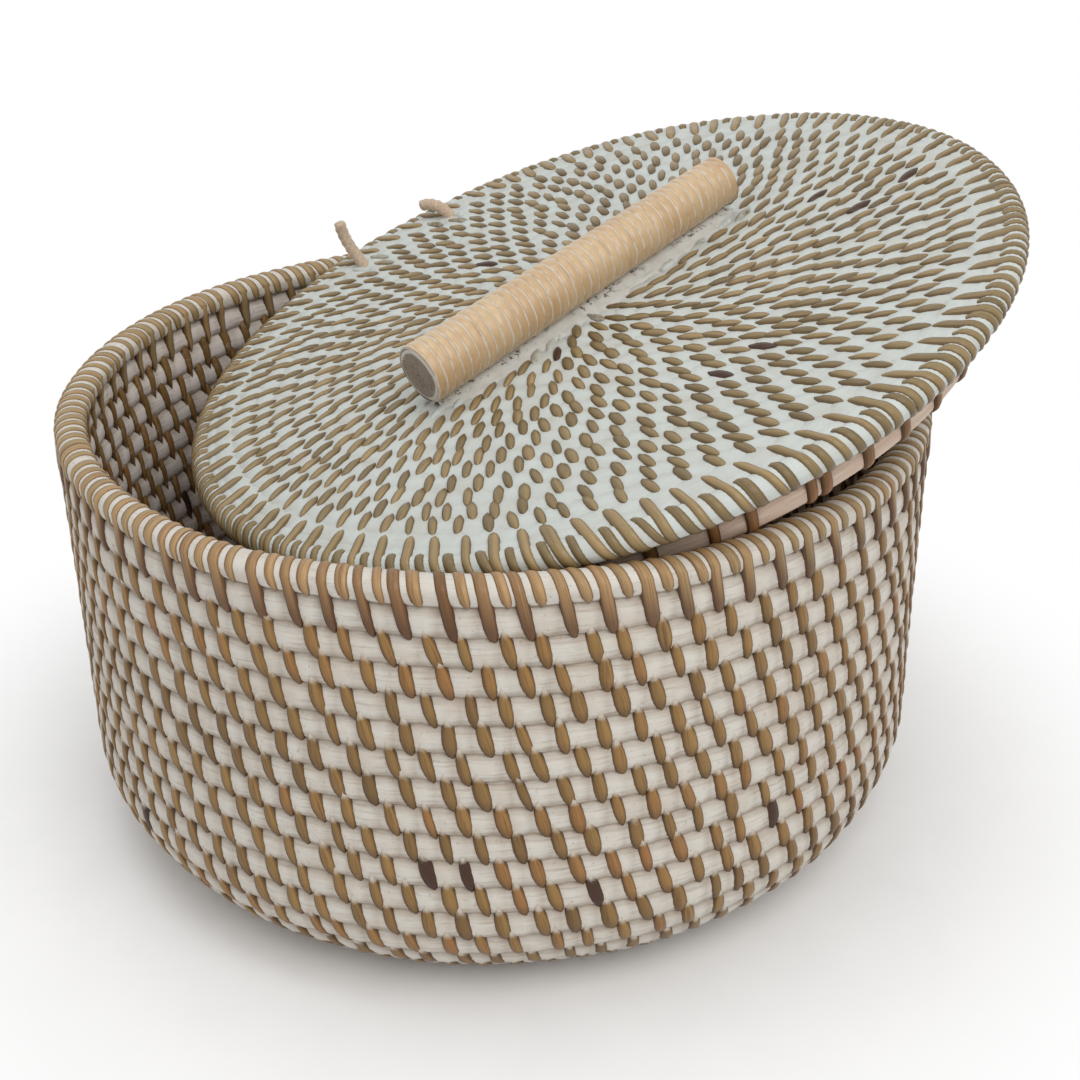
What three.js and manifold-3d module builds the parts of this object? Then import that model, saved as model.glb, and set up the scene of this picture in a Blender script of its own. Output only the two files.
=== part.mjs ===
// A round box of coiled rattan rods with a flat coiled lid, the lid laid askew in the opening.
// Millimetres, +Z up. The origin is the centre of the face that the box stands on.
import * as THREE from 'three';
import { mergeVertices } from 'three/addons/utils/BufferGeometryUtils.js';
import Module from 'manifold-3d';

// Box
const BOX_RADIUS = 120;          // outside of the wall and of the rim coil
const BOX_HEIGHT = 126;          // standing face to the top of the rim coil
const COIL_THICKNESS = 7.2;      // thickness of base, corner and wall
const CORNER_RADIUS = 33;        // outside rounding between base and wall
const CORNER_ROWS = 6;           // rounds of rod in that rounding
const WALL_ROWS = 11;            // rounds of rod in the straight wall
const ROD_EDGE = 2.3;            // half thickness of a round where it meets the next one
const ROW_GAP = 0.35;            // clearance between neighbouring rounds
const RIM_WIDTH = 8.8;           // rim coil, across the wall
const RIM_DEPTH = 6.6;           // rim coil, along the wall

// Lid
const LID_SETBACK = 0.6;         // how far the lid's edge stays inside the rim's outline
const LID_THICKNESS = 6.4;
const LID_ROWS = 18;             // rounds of rod in the flat lid
const LID_GROOVE = 0.8;          // depth of the groove between two rounds on the lid's top
const EDGE_DIAMETER = 8;         // coil around the lid's edge
const EDGE_DROP = 1;             // how far its middle hangs below the lid's
const STOP_DIAMETER = 5.2;       // two bare rods under the lid that keep it centred when it is closed
const STOP_PLAY = 1.1;           // radial play of those rods inside the rim
const SEAT_GAP = 0.3;            // clearance between pieces that lie on each other

// How the lid lies: pushed aside, tilted, and lowered until it meets the rim
const LID_SHIFT = { x: 27.3, y: 8.3 };
const LID_PITCH = 5.05;          // degrees about X
const LID_ROLL = -17.2;          // degrees about Y
const REST_GAP = 0.5;            // clearance between the lid and the rim where it rests

// Handle
const HANDLE_LENGTH = 114;
const HANDLE_ANGLE = 37.4;       // degrees in the lid's plane
const HANDLE_THICK_END = 15;     // diameters of the bare cane bar
const HANDLE_THIN_END = 12;
const HANDLE_SIDES = 16;
const WRAP_TURNS = 24;
const WRAP_STEPS = 16;           // steps in each turn
const WRAP_THICKNESS = 0.8;
const WRAP_SPACE = 0.6;          // bare bar between two turns
const WRAP_CLEARANCE = 0.4;      // between the bar and the strip around it
const WRAP_MARGIN = 1.5;         // bare bar at each end
const BED_LENGTH = 108;          // painted filler under the bar
const BED_WIDTH = 15;
const BED_THICKNESS = 1.2;
const BED_SEGMENTS = 6;          // facets of each rounded end

// Hinge cords, through two holes in the lid just inside the stop rod
const CORD_DIAMETER = 3.8;
const CORD_CLEARANCE = 0.4;
const HOLE_CLEARANCE = 0.9;      // room for the bend of a cord in its hole
const CORD_SIDES = 8;
const CORD_STEPS = 34;
const HOLE_SIDES = 12;

const SEGMENTS = 32;             // facets around the box and the lid
const RIM_POINTS = 8;
const WELD = 1e-3;               // points closer than this are one
const ROD_POINTS = 6;

const material = (color, roughness) => new THREE.MeshStandardMaterial({ color, roughness, metalness: 0 });
const WHITEWASH = material(0xd8cec2, 0.75);
const WOUND_RIM = material(0xc4a680, 0.6);
const BARE_ROD = material(0xd3b9a2, 0.65);
const CANE = material(0x8c8178, 0.8);
const PEEL = material(0xd2a977, 0.35);
const FILLER = material(0xe6dfda, 0.8);
const COTTON = material(0xd9c3ab, 0.95);

const object = new THREE.Group();
const lid = new THREE.Group();
object.add(lid);

function addMesh(parent, name, geometry, look) {
  const mesh = new THREE.Mesh(geometry, look);
  mesh.name = name;
  parent.add(mesh);
  return mesh;
}

// A closed outline of [radius, height] points turned about the Z axis.
function turned(points) {
  const outline = points.map(([radius, height]) => new THREE.Vector2(radius, height));
  outline.push(outline[0].clone());
  return new THREE.LatheGeometry(outline, SEGMENTS).rotateX(Math.PI / 2);
}

// A disc whose outline starts and ends on the axis.
function turnedDisc(points) {
  const outline = points.map(([radius, height]) => new THREE.Vector2(radius, height));
  return new THREE.LatheGeometry(outline, SEGMENTS).rotateX(Math.PI / 2);
}

function ellipseOutline(radius, height, width, depth, count) {
  return Array.from({ length: count }, (_, i) => {
    const angle = (i + 0.5) / count * 2 * Math.PI;
    return [radius + width / 2 * Math.cos(angle), height + depth / 2 * Math.sin(angle)];
  });
}

// Box: the middle line of the coil, from the edge of the base round the corner and up the wall
const cornerCentre = BOX_RADIUS - CORNER_RADIUS;
const cornerMiddle = CORNER_RADIUS - COIL_THICKNESS / 2;
const cornerLength = cornerMiddle * Math.PI / 2;
const wallTop = BOX_HEIGHT - RIM_DEPTH - ROW_GAP;
const wallLength = wallTop - CORNER_RADIUS;
const wallInside = BOX_RADIUS - COIL_THICKNESS;

// A point of the middle line, moved outwards by offset.
function coilPoint(along, offset) {
  if (along > cornerLength) {
    return [BOX_RADIUS - COIL_THICKNESS / 2 + offset, CORNER_RADIUS + along - cornerLength];
  }
  const angle = along / cornerMiddle - Math.PI / 2;
  const radius = cornerMiddle + offset;
  return [cornerCentre + radius * Math.cos(angle), CORNER_RADIUS + radius * Math.sin(angle)];
}

// One round of rod between two places on the middle line, thickest half way.
function coilRound(from, to) {
  const start = from + ROW_GAP / 2;
  const end = to - ROW_GAP / 2;
  const middle = (from + to) / 2;
  return turned([
    coilPoint(start, -ROD_EDGE),
    coilPoint(start, ROD_EDGE),
    coilPoint(middle, COIL_THICKNESS / 2),
    coilPoint(end, ROD_EDGE),
    coilPoint(end, -ROD_EDGE),
    coilPoint(middle, -COIL_THICKNESS / 2),
  ]);
}

const baseEdge = cornerCentre - ROW_GAP / 2;
addMesh(object, 'base_coil', turnedDisc([
  [0, 0],
  [baseEdge, 0],
  [baseEdge, COIL_THICKNESS],
  [0, COIL_THICKNESS],
]), WHITEWASH);

for (let row = 0; row < CORNER_ROWS; row += 1) {
  const step = cornerLength / CORNER_ROWS;
  addMesh(object, `corner_coil_${row + 1}`, coilRound(row * step, (row + 1) * step), WHITEWASH);
}
for (let row = 0; row < WALL_ROWS; row += 1) {
  const step = wallLength / WALL_ROWS;
  const from = cornerLength + row * step;
  addMesh(object, `wall_coil_${row + 1}`, coilRound(from, from + step), WHITEWASH);
}

const rimRadius = BOX_RADIUS - RIM_WIDTH / 2;
const rimHeight = BOX_HEIGHT - RIM_DEPTH / 2;
addMesh(object, 'rim_coil', turned(
  ellipseOutline(rimRadius, rimHeight, RIM_WIDTH, RIM_DEPTH, RIM_POINTS)), WOUND_RIM);

// Lid: its own frame has the middle of the edge coil at the origin
const lidRadius = BOX_RADIUS - LID_SETBACK;
const edgeRadius = lidRadius - EDGE_DIAMETER / 2;
const panelRadius = lidRadius - EDGE_DIAMETER - SEAT_GAP;
const lidTop = LID_THICKNESS / 2;
const stopRadius = BOX_RADIUS - RIM_WIDTH - STOP_PLAY - STOP_DIAMETER / 2;
const upperStopHeight = -lidTop - SEAT_GAP - STOP_DIAMETER / 2;
const stopHeight = upperStopHeight - STOP_DIAMETER - SEAT_GAP;
const holeRadius = CORD_DIAMETER / 2 + HOLE_CLEARANCE;
const holeCircle = stopRadius - STOP_DIAMETER / 2 - CORD_CLEARANCE - CORD_DIAMETER / 2;

// Each route is [outwards, anticlockwise, up] from its hole's place under the lid, in the lid's frame:
// from the inside of the wall, under the stop rods, up through the hole to the bare end on top.
// The hole leans outwards and anticlockwise by its lean from the lid's underside to its top.
const HINGE_CORDS = [
  {
    name: 'hinge_cord_1',
    azimuth: 132.4,
    lean: [1.8, 0],
    route: [
      [21.2, 0, -20.6], [17, 0, -20.9], [13, 0, -21], [9, 0, -20.8], [6.7, 0, -20.5], [4.5, 0, -19.6],
      [2.6, 0, -18.2], [1.2, 0, -16.3], [0.3, 0, -14.1], [0, 0, -11.8], [0, 0, -8.2], [0, 0, -4.8],
      [0.3, 0, -1.6], [1.2, 0, 1.8], [2.8, 0, 5], [4.5, 0.1, 8.2], [5.6, 0.2, 11.6], [5.9, 0.2, 15],
      [5.6, 0.1, 18],
    ],
  },
  {
    name: 'hinge_cord_2',
    azimuth: 113.1,
    lean: [1.15, 0.7],
    route: [
      [8.8, 6.8, -24.3], [7.3, 5.6, -22.9], [5.1, 4, -21], [3, 2.3, -19.2], [2.1, 1.6, -18.2],
      [0.9, 0.7, -16.3], [0.2, 0.2, -14.1], [0, 0, -11.8], [0, 0, -8.2], [0, 0, -4.8], [0, 0, -1.2],
      [0.4, 0.3, 1.7], [1.7, 1, 4.2], [3.6, 2.2, 6.1], [5.9, 3.7, 7.1], [8.4, 5.2, 7.1], [9.8, 6.1, 6.6],
    ],
  },
];

function holePlace(azimuth) {
  const angle = THREE.MathUtils.degToRad(azimuth);
  const outwards = new THREE.Vector3(Math.cos(angle), Math.sin(angle), 0);
  const anticlockwise = new THREE.Vector3(-Math.sin(angle), Math.cos(angle), 0);
  return { outwards, anticlockwise, centre: outwards.clone().multiplyScalar(holeCircle) };
}

// Distance from a point of the box's frame to the rim coil and the wall under it.
function boxDistance(point) {
  const radius = Math.hypot(point.x, point.y);
  const across = (radius - rimRadius) / (RIM_WIDTH / 2);
  const along = (point.z - rimHeight) / (RIM_DEPTH / 2);
  const toRim = (Math.hypot(across, along) - 1) * Math.min(RIM_WIDTH, RIM_DEPTH) / 2;
  const aside = Math.max(wallInside - radius, radius - BOX_RADIUS);
  const above = point.z - wallTop;
  const toWall = above > 0 ? Math.hypot(Math.max(aside, 0), above) : aside;
  return Math.min(toRim, toWall);
}

function ringPoints(radius, height, diameter) {
  const AROUND = 180;
  const SECTION = 12;
  const points = [];
  for (let i = 0; i < AROUND; i += 1) {
    for (let j = 0; j < SECTION; j += 1) {
      const angle = i / AROUND * 2 * Math.PI;
      const turn = j / SECTION * 2 * Math.PI;
      const reach = radius + diameter / 2 * Math.cos(turn);
      const up = height + diameter / 2 * Math.sin(turn);
      points.push(new THREE.Vector3(reach * Math.cos(angle), reach * Math.sin(angle), up));
    }
  }
  return points;
}

// The height at which the tilted lid, let down from above, comes to rest on the rim.
function restHeight(rotation) {
  const points = [
    ...ringPoints(edgeRadius, -EDGE_DROP, EDGE_DIAMETER),
    ...ringPoints(stopRadius, stopHeight, STOP_DIAMETER),
  ].map((point) => point.applyEuler(rotation));
  const place = new THREE.Vector3();
  const clears = (height) => points.every((point) => {
    place.set(point.x + LID_SHIFT.x, point.y + LID_SHIFT.y, point.z + height);
    return boxDistance(place) >= REST_GAP;
  });
  const STEP = 1;
  const HALVINGS = 20;
  let high = BOX_HEIGHT + BOX_RADIUS;
  while (clears(high - STEP)) high -= STEP;
  let low = high - STEP;
  for (let i = 0; i < HALVINGS; i += 1) {
    const middle = (low + high) / 2;
    if (clears(middle)) high = middle;
    else low = middle;
  }
  return high;
}

lid.rotation.set(THREE.MathUtils.degToRad(LID_PITCH), THREE.MathUtils.degToRad(LID_ROLL), 0, 'YXZ');
lid.position.set(LID_SHIFT.x, LID_SHIFT.y, restHeight(lid.rotation));
console.log('lid centre', lid.position.toArray().map((value) => value.toFixed(3)).join(', '));

// Booleans: a closed geometry as a solid, and a solid as a geometry
const wasm = await Module();
wasm.setup();

function toSolid(geometry) {
  const bare = geometry.clone();
  bare.deleteAttribute('normal');
  bare.deleteAttribute('uv');
  const merged = mergeVertices(bare, WELD);
  return new wasm.Manifold(new wasm.Mesh({
    numProp: 3,
    vertProperties: new Float32Array(merged.attributes.position.array),
    triVerts: new Uint32Array(merged.index.array),
  }));
}

function toGeometry(solid) {
  const mesh = solid.getMesh();
  const geometry = new THREE.BufferGeometry();
  geometry.setAttribute('position', new THREE.BufferAttribute(new Float32Array(mesh.vertProperties), 3));
  geometry.setIndex(new THREE.BufferAttribute(new Uint32Array(mesh.triVerts), 1));
  geometry.computeVertexNormals();
  return geometry;
}

// The flat lid: rounds of rod that show as ridges on top, with a hole for each hinge cord
function lidPanel() {
  const pitch = panelRadius / LID_ROWS;
  const ridges = [];
  for (let row = LID_ROWS - 1; row >= 0; row -= 1) {
    ridges.push([(row + 0.5) * pitch, lidTop]);
    ridges.push([row * pitch, lidTop - LID_GROOVE]);
  }
  let panel = toSolid(turnedDisc([[0, -lidTop], [panelRadius, -lidTop], [panelRadius, lidTop - LID_GROOVE],
    ...ridges]));
  for (const cord of HINGE_CORDS) {
    const { outwards, anticlockwise, centre } = holePlace(cord.azimuth);
    const shift = outwards.multiplyScalar(cord.lean[0]).addScaledVector(anticlockwise, cord.lean[1]);
    const middle = centre.addScaledVector(shift, 0.5);
    const direction = shift.setZ(LID_THICKNESS).normalize();
    const drill = new THREE.CylinderGeometry(holeRadius, holeRadius, 2 * LID_THICKNESS, HOLE_SIDES);
    drill.applyQuaternion(new THREE.Quaternion().setFromUnitVectors(new THREE.Vector3(0, 1, 0), direction));
    panel = panel.subtract(toSolid(drill.translate(middle.x, middle.y, 0)));
  }
  return toGeometry(panel);
}

addMesh(lid, 'lid_coil', lidPanel(), WHITEWASH);
addMesh(lid, 'lid_edge_coil', turned(
  ellipseOutline(edgeRadius, -EDGE_DROP, EDGE_DIAMETER, EDGE_DIAMETER, RIM_POINTS)), WOUND_RIM);
for (const [name, height] of [['stop_ring', stopHeight], ['stop_ring_upper', upperStopHeight]]) {
  addMesh(lid, name, turned(
    ellipseOutline(stopRadius, height, STOP_DIAMETER, STOP_DIAMETER, ROD_POINTS)), BARE_ROD);
}

// Handle: a tapered bar along Y of its own group, tipped so that its underside follows the lid
const wrapProud = WRAP_CLEARANCE + WRAP_THICKNESS;
const thickRadius = HANDLE_THICK_END / 2;
const thinRadius = HANDLE_THIN_END / 2;
const tip = Math.asin((thickRadius - thinRadius) / HANDLE_LENGTH);
const middleRadius = (thickRadius + thinRadius) / 2;
const bedTop = lidTop + SEAT_GAP + BED_THICKNESS;
const handle = new THREE.Group();
handle.rotation.set(0, 0, THREE.MathUtils.degToRad(HANDLE_ANGLE) - Math.PI / 2);
lid.add(handle);
const bar = new THREE.Group();
bar.rotation.x = -tip;
bar.position.z = bedTop + SEAT_GAP + (middleRadius + wrapProud) / Math.cos(tip);
handle.add(bar);

addMesh(bar, 'handle_bar', new THREE.CylinderGeometry(
  thinRadius, thickRadius, HANDLE_LENGTH, HANDLE_SIDES), CANE);

// A flat strip wound round the bar in one unbroken run. Each section has four corners.
function wrapSections() {
  const run = HANDLE_LENGTH - 2 * WRAP_MARGIN;
  const pitch = run / (WRAP_TURNS + 1);
  const width = pitch - WRAP_SPACE;
  const count = WRAP_TURNS * WRAP_STEPS;
  const sections = [];
  for (let i = 0; i <= count; i += 1) {
    const angle = i / WRAP_STEPS * 2 * Math.PI;
    const middle = -run / 2 + pitch / 2 + i / WRAP_STEPS * pitch;
    const corner = (side, height) => {
      const y = middle + side * width / 2;
      const bare = middleRadius - (thickRadius - thinRadius) * y / HANDLE_LENGTH;
      const radius = bare + WRAP_CLEARANCE + height;
      return new THREE.Vector3(radius * Math.cos(angle), y, radius * Math.sin(angle));
    };
    sections.push([corner(-1, 0), corner(1, 0), corner(1, WRAP_THICKNESS), corner(-1, WRAP_THICKNESS)]);
  }
  return sections;
}

function tubeThrough(sections) {
  const sides = sections[0].length;
  const positions = sections.flat().flatMap((point) => point.toArray());
  const triangles = [];
  for (let i = 0; i + 1 < sections.length; i += 1) {
    for (let j = 0; j < sides; j += 1) {
      const a = i * sides + j;
      const b = i * sides + (j + 1) % sides;
      triangles.push(a, a + sides, b, b, a + sides, b + sides);
    }
  }
  const last = (sections.length - 1) * sides;
  for (let j = 1; j + 1 < sides; j += 1) {
    triangles.push(0, j, j + 1, last, last + j + 1, last + j);
  }
  const geometry = new THREE.BufferGeometry();
  geometry.setAttribute('position', new THREE.Float32BufferAttribute(positions, 3));
  geometry.setIndex(triangles);
  geometry.computeVertexNormals();
  return geometry;
}

// The least distance between corners of neighbouring turns.
function leastSelfGap(sections) {
  let least = Infinity;
  for (let i = 0; i + WRAP_STEPS / 2 < sections.length; i += 1) {
    const stop = Math.min(i + 2 * WRAP_STEPS, sections.length);
    for (let k = i + WRAP_STEPS / 2; k < stop; k += 1) {
      for (const a of sections[i]) {
        for (const b of sections[k]) least = Math.min(least, a.distanceTo(b));
      }
    }
  }
  return least;
}

const wrap = wrapSections();
console.log('handle wrap least gap to itself', leastSelfGap(wrap).toFixed(2), 'mm');
addMesh(bar, 'handle_wrap', tubeThrough(wrap), PEEL);

function bedOutline() {
  const reach = (BED_LENGTH - BED_WIDTH) / 2;
  const shape = new THREE.Shape();
  shape.absarc(0, reach, BED_WIDTH / 2, 0, Math.PI, false);
  shape.absarc(0, -reach, BED_WIDTH / 2, Math.PI, 2 * Math.PI, false);
  return shape;
}
const bed = new THREE.ExtrudeGeometry(bedOutline(), {
  depth: BED_THICKNESS,
  bevelEnabled: false,
  curveSegments: BED_SEGMENTS,
});
addMesh(handle, 'handle_bed', bed, FILLER).position.z = lidTop + SEAT_GAP;

// Hinge cords
function cordTube(cord) {
  const { outwards, anticlockwise, centre } = holePlace(cord.azimuth);
  const points = cord.route.map(([out, round, up]) => centre.clone()
    .addScaledVector(outwards, out)
    .addScaledVector(anticlockwise, round)
    .setZ(up));
  const section = new THREE.Shape(Array.from({ length: CORD_SIDES }, (_, i) => {
    const angle = i / CORD_SIDES * 2 * Math.PI;
    return new THREE.Vector2(CORD_DIAMETER / 2 * Math.cos(angle), CORD_DIAMETER / 2 * Math.sin(angle));
  }));
  return new THREE.ExtrudeGeometry(section, {
    steps: CORD_STEPS,
    bevelEnabled: false,
    extrudePath: new THREE.CatmullRomCurve3(points),
  });
}
for (const cord of HINGE_CORDS) addMesh(lid, cord.name, cordTube(cord), COTTON);

export default object;
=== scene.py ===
"""A round box of whitewashed rattan rods stitched with cane strips, its coiled lid lying askew."""
import math

import bpy
import numpy as np
from mathutils import Matrix, Vector


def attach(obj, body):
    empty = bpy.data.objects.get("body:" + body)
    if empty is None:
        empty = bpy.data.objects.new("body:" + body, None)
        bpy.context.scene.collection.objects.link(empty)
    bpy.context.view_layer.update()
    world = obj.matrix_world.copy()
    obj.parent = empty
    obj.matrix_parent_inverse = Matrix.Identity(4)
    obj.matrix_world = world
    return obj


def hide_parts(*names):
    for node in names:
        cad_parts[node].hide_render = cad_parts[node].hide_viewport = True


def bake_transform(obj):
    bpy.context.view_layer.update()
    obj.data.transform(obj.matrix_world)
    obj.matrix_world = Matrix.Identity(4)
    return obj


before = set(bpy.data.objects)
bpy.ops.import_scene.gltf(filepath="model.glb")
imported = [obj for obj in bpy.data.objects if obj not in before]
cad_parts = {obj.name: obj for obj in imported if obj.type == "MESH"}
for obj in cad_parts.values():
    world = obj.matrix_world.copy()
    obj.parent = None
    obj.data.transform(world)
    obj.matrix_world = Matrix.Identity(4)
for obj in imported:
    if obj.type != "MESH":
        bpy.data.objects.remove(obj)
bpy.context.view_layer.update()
random = np.random.default_rng(11)

MM = 0.001
TURN = 2 * math.pi

# Sizes of the solids, in millimetres, as the part's source has them
BOX_RADIUS = 120.0
BOX_HEIGHT = 126.0
COIL_THICKNESS = 7.2
CORNER_RADIUS = 33.0
CORNER_ROWS = 6
WALL_ROWS = 11
ROW_GAP = 0.35
RIM_WIDTH = 8.8
RIM_DEPTH = 6.6
LID_RADIUS = 119.4
EDGE_DIAMETER = 8.0
EDGE_DROP = 1.0
STOP_HALF_WIDTH = 2.6
HANDLE_LENGTH = 114.0
HANDLE_THICK_END = 15.0
HANDLE_THIN_END = 12.0
CORD_DIAMETER = 3.8
CORD_HOLE_RADIUS = 102.6

# Weave
BASE_ROWS = 12
LID_ROWS = 19
ROD_THICKNESS = 6.6          # a wall rod across the wall, without its strips
LID_ROD_THICKNESS = 5.8
WALL_OVERLAP = 1.2           # rods press into each other and paint fills the groove between them
LID_OVERLAP = 2.2
WALL_STITCHES = 82           # strips in one round of the wall
WALL_SHIFT = -0.47           # from one round up to the next, as a share of their distance
LID_SHIFT = -0.24            # the same from one round of the lid out to the next
HANDLE_TURNS = 38

corner_centre = BOX_RADIUS - CORNER_RADIUS
corner_middle = CORNER_RADIUS - COIL_THICKNESS / 2
corner_length = corner_middle * math.pi / 2
wall_top = BOX_HEIGHT - RIM_DEPTH - ROW_GAP
wall_length = wall_top - CORNER_RADIUS
wall_step = wall_length / WALL_ROWS
rim_centre = (BOX_RADIUS - RIM_WIDTH / 2, BOX_HEIGHT - RIM_DEPTH / 2)
edge_centre = (LID_RADIUS - EDGE_DIAMETER / 2, -EDGE_DROP)
panel_radius = LID_RADIUS - EDGE_DIAMETER
lid_step = panel_radius / LID_ROWS


# Frames

def node_points(name):
    """The vertices of a CAD node, in millimetres."""
    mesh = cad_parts[name].data
    points = np.empty(len(mesh.vertices) * 3)
    mesh.vertices.foreach_get("co", points)
    return points.reshape(-1, 3) / MM


def lid_frame():
    """The lid's own frame: the middle of the lid, with Z along its normal."""
    points = node_points("lid_edge_coil")
    normal = np.linalg.svd(points - points.mean(0), full_matrices=False)[2][2]
    normal *= np.sign(normal[2])
    along = np.cross((0, 1, 0), normal)
    along /= np.linalg.norm(along)
    axes = np.stack((along, np.cross(normal, along), normal))
    local = points @ axes.T
    middle = (local.min(0) + local.max(0)) / 2
    return middle @ axes + EDGE_DROP * normal, axes


def bar_frame():
    """The handle bar's frame: its middle, and its axis from the thick end to the thin one."""
    points = node_points("handle_bar")
    axis = np.linalg.svd(points - points.mean(0), full_matrices=False)[2][0]
    axis *= np.sign(axis[0])
    side = np.cross(axis, lid_axes[2])
    side /= np.linalg.norm(side)
    axes = np.stack((side, axis, np.cross(side, axis)))
    local = points @ axes.T
    return (local.min(0) + local.max(0)) / 2 @ axes, axes


lid_centre, lid_axes = lid_frame()
bar_centre, bar_axes = bar_frame()
bar_azimuth = math.atan2(bar_axes[1] @ lid_axes[1], bar_axes[1] @ lid_axes[0])


# Hand-made unevenness: each wave's share, waves in a round, drift for each millimetre and phase
WAVES = ((0.5, 3, 0.021, 0.6), (0.3, 7, -0.034, 2.1), (0.2, 13, 0.05, 4.0))
WALL_WANDERS = 0.6           # millimetres in and out
ROWS_WANDER = 0.5            # and up and down
ROWS_PHASE = 1.7
LID_WANDERS = 0.35           # up and down


def uneven(azimuth, drifting, strength):
    """An unevenness that neighbouring rounds share."""
    return strength * sum(share * np.sin(waves * azimuth + drift * drifting + phase)
                          for share, waves, drift, phase in WAVES)


def place_on_box(radius, height, azimuth):
    reach = radius + uneven(azimuth, height, WALL_WANDERS)
    lifted = height + uneven(azimuth + ROWS_PHASE, 0, ROWS_WANDER) * np.clip(height / CORNER_RADIUS, 0, 1)
    return np.stack((reach * np.cos(azimuth), reach * np.sin(azimuth), lifted), -1)


def place_on_lid(radius, height, azimuth):
    lifted = height + uneven(azimuth, radius, LID_WANDERS)
    local = np.stack((radius * np.cos(azimuth), radius * np.sin(azimuth), lifted), -1)
    return local @ lid_axes + lid_centre


def box_surface(along, lift):
    """Radius and height at a distance along the coil's middle line, moved out by lift."""
    along, lift = np.broadcast_arrays(np.asarray(along, float), np.asarray(lift, float))
    angle = np.clip(along, 0, corner_length) / corner_middle - math.pi / 2
    reach = corner_middle + lift
    radius = corner_centre + np.minimum(along, 0) + reach * np.cos(angle)
    height = CORNER_RADIUS + np.maximum(along - corner_length, 0) + reach * np.sin(angle)
    return radius, height


def lid_surface(along, lift):
    return np.broadcast_arrays(np.asarray(along, float), np.asarray(lift, float))


def around(count):
    """Angles of a full turn, evenly spaced."""
    return np.arange(count) / count * TURN


def apart(azimuths, others):
    """The angles between azimuths, within half a turn both ways."""
    return (azimuths - others + math.pi) % TURN - math.pi


# Meshes

def grid_faces(rows, columns, close_rows=False, close_columns=False):
    """Quads over a grid of points that is stored row by row."""
    i = np.arange(rows if close_rows else rows - 1)[:, None]
    j = np.arange(columns if close_columns else columns - 1)[None, :]
    below = (i + 1) % rows
    beside = (j + 1) % columns
    quads = np.stack((i * columns + j, i * columns + beside, below * columns + beside,
                      below * columns + j), -1)
    return quads.reshape(-1, 4)


class Builder:
    """Collects grids of points, with values at each point, and makes one mesh of them."""

    def __init__(self):
        self.points = []
        self.quads = []
        self.values = {}
        self.count = 0

    def add(self, points, close_rows=False, close_columns=False, flip=False, **values):
        rows, columns = points.shape[:2]
        quads = grid_faces(rows, columns, close_rows, close_columns) + self.count
        self.points.append(points.reshape(-1, 3))
        self.quads.append(quads[:, ::-1] if flip else quads)
        for name, value in values.items():
            flat = np.broadcast_to(value, (rows, columns)).reshape(-1)
            self.values.setdefault(name, []).append(flat)
        self.count += rows * columns

    def piece(self, name, body, slot, material, replaces=()):
        points = np.concatenate(self.points) * MM
        mesh = bpy.data.meshes.new(name)
        mesh.from_pydata(points, [], np.concatenate(self.quads).tolist())
        for key, parts in self.values.items():
            attribute = mesh.attributes.new(key, "FLOAT", "POINT")
            attribute.data.foreach_set("value", np.concatenate(parts).astype(np.float32))
        mesh.polygons.foreach_set("use_smooth", np.ones(len(mesh.polygons), bool))
        mesh.materials.append(material)
        obj = bpy.data.objects.new(name, mesh)
        bpy.context.scene.collection.objects.link(obj)
        if body:
            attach(obj, body)
        if replaces:
            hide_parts(*replaces)
        return obj


# Rods

ROD_POWER = 2.4              # of its outline
ROD_STEPS = 4                # points from one strip to the next
WALL_FACETS = 14             # points round a rod
BASE_FACETS = 10
LID_FACETS = 12
ROD_SWELL = 1.04             # thickness between strips, as a share
ROD_WAVE = 0.02
ROD_WAVES = 9                # in a round
STRIP_PULL = 0.16            # how far a strip draws the rod in, as a share
PULL_REACH = 2.1
HOLLOW_AT = 2.6              # a hollow beside each strip, darkened with painted shade
HOLLOW_REACH = 1.4
HOLLOW_DEPTH = 0.5           # as a share of the pull


def outline(angles, power):
    """An outline between -1 and 1 both ways: round at power 2 and squarer above that."""
    cos, sin = np.cos(angles), np.sin(angles)
    return np.sign(cos) * np.abs(cos) ** (2 / power), np.sign(sin) * np.abs(sin) ** (2 / power)


def add_rod(builder, surface, place, centre, half_pitch, thickness, overlap, azimuths, facets):
    """One round of rod, drawn in where a strip crosses it and swelling in between."""
    azimuth = around(len(azimuths) * ROD_STEPS)
    radius = surface(centre, 0)[0]
    from_strips = apart(azimuth[:, None], azimuths)
    away = radius * from_strips[np.arange(len(azimuth)), np.abs(from_strips).argmin(1)]
    hollow = HOLLOW_DEPTH * np.exp(-((away + HOLLOW_AT) / HOLLOW_REACH) ** 2)
    drawn_in = np.exp(-(away / PULL_REACH) ** 2) + hollow
    swell = ROD_SWELL + ROD_WAVE * np.sin(azimuth * ROD_WAVES + centre) - STRIP_PULL * drawn_in
    along, across = outline(around(facets), ROD_POWER)
    r, z = surface(centre + overlap * half_pitch * along, thickness / 2 * across * swell[:, None])
    points = place(r, z, np.broadcast_to(azimuth[:, None], r.shape))
    builder.add(points, True, True, flip=surface is lid_surface, around=azimuth[:, None] * radius,
                along=centre + half_pitch * along, groove=overlap * np.abs(along) + hollow[:, None],
                inside=np.clip(-across, 0, 1))


# Strips

ACROSS = np.array([-1, -0.78, 0, 0.78, 1.0])   # over a strip's width
CROWN = np.array([1.1, 0.28, 0, 0.28, 1.1])    # and how far it falls away there
VARIANTS = 4                 # strips of one round lie a little further up or down
VARIANT_SPREAD = 0.25
WIDTH_SPREAD = 0.10          # as a share of the width
LEAN_SPREAD = 0.2            # as a share of the lean
LEAST_RADIUS = 4.0           # keeps strips narrow at the middle of a flat coil
PALE_TIP = 0.28              # the share of a strip that its pale tip takes
PAINTED_SHADE_FROM = 0.6              # from this share on, a strip gets darker to its end: painted shade where it tucks under the next rod


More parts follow.
